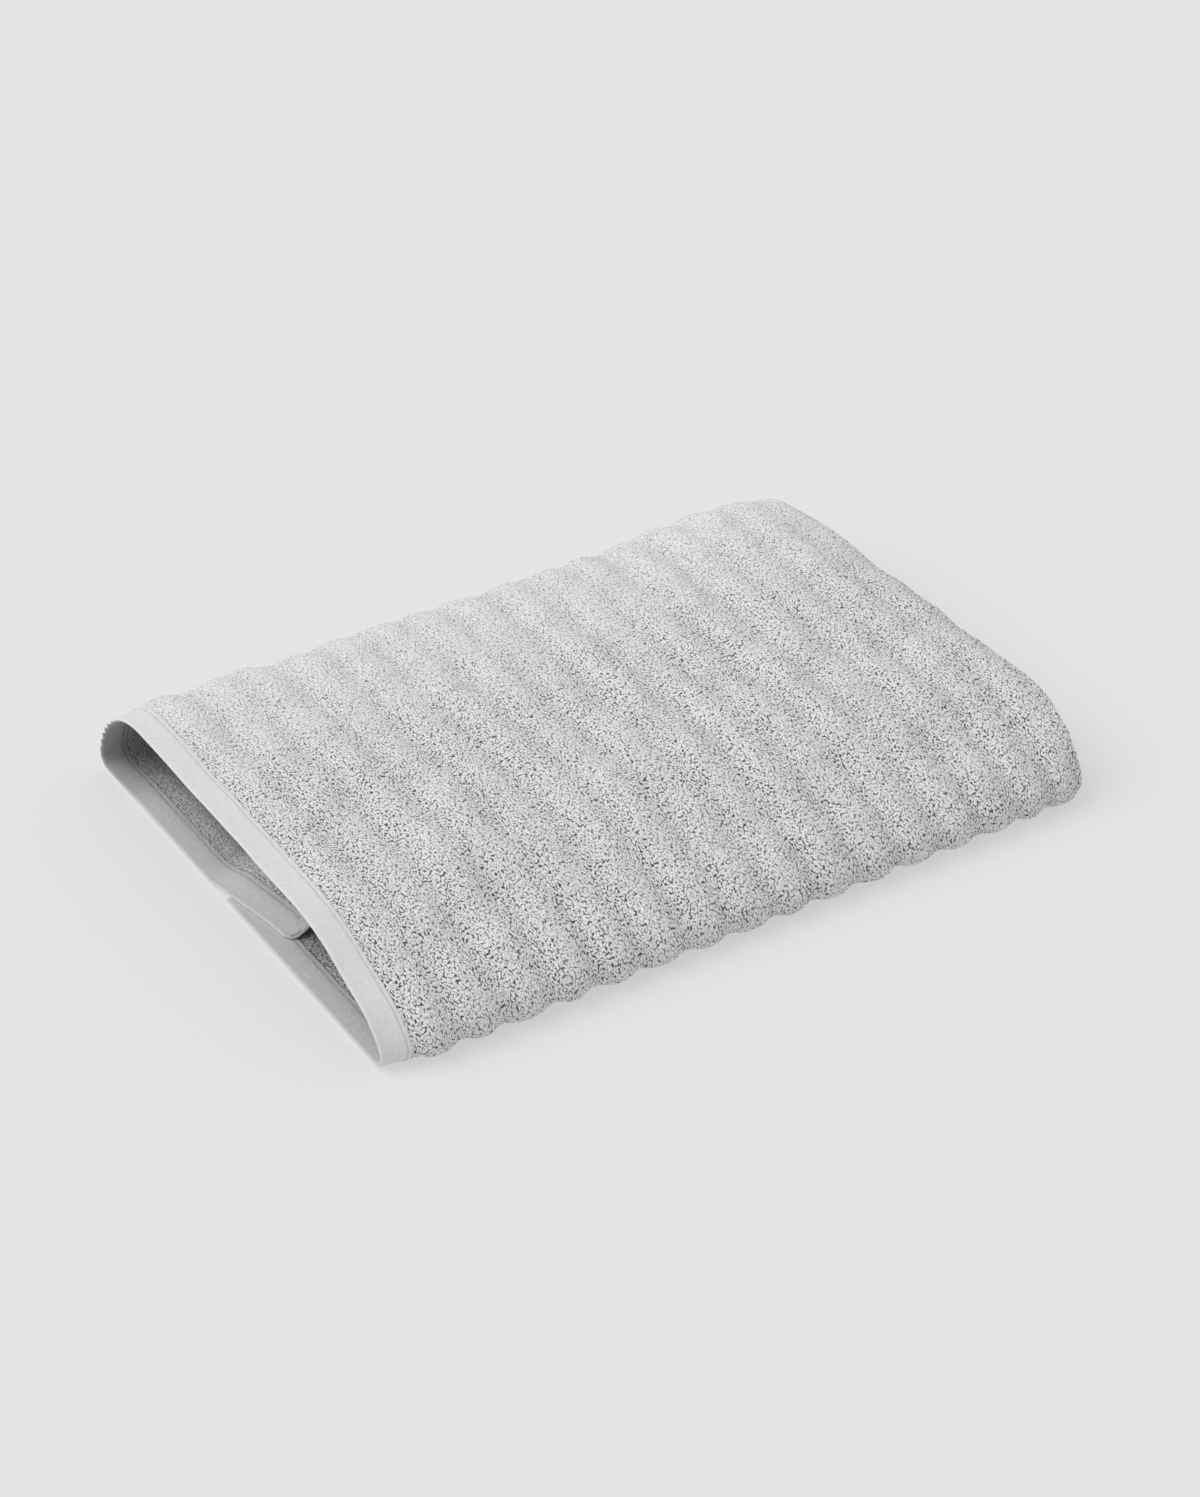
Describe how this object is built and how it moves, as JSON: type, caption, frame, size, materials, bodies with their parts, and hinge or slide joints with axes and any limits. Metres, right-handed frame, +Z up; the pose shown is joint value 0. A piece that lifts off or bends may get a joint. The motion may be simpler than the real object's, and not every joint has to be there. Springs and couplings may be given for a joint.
{
  "type": "bath towel",
  "caption": "Ribbed terry bath towel, folded crosswise and with both long sides turned under; it opens like a book at its front fold.",
  "frame": {"origin": "centre of the folded towel's footprint, on the surface it lies on", "axes": "+X along the folded length, from the open end with the hem to the closed crosswise fold; +Y from the front long fold to the back one; +Z up"},
  "size_m": [0.5201, 0.378, 0.0668],
  "materials": {
    "terry": "looped cotton pile in raised ribs, matt",
    "flat_weave": "plain-woven cotton hem, matt",
    "sewing_thread": "spun sewing thread"
  },
  "bodies": {
    "under_flap": {"front_flap_terry": "terry", "front_flap_end_hem": "flat_weave", "front_flap_tucked_hem": "flat_weave", "front_flap_thread": "sewing_thread", "front_fold_terry": "terry", "front_fold_end_hem": "flat_weave", "front_fold_tucked_hem": "flat_weave", "front_fold_thread": "sewing_thread", "front_side_hem": "flat_weave"},
    "cover": {"top_panel_terry": "terry", "top_panel_end_hem": "flat_weave", "top_panel_tucked_hem": "flat_weave", "top_panel_thread": "sewing_thread", "back_fold_terry": "terry", "back_fold_end_hem": "flat_weave", "back_fold_tucked_hem": "flat_weave", "back_fold_thread": "sewing_thread", "back_flap_terry": "terry", "back_flap_end_hem": "flat_weave", "back_flap_tucked_hem": "flat_weave", "back_flap_thread": "sewing_thread", "back_side_hem": "flat_weave"}
  },
  "joints": [
    {"name": "front_fold_hinge", "type": "hinge", "parent": "under_flap", "child": "cover", "pos_m": [0, -0.175, 0.014], "axis": [1, 0, 0], "range_deg": [0, 118], "deforming": ["front_fold_terry", "front_fold_end_hem", "front_fold_tucked_hem", "front_fold_thread"]}
  ]
}
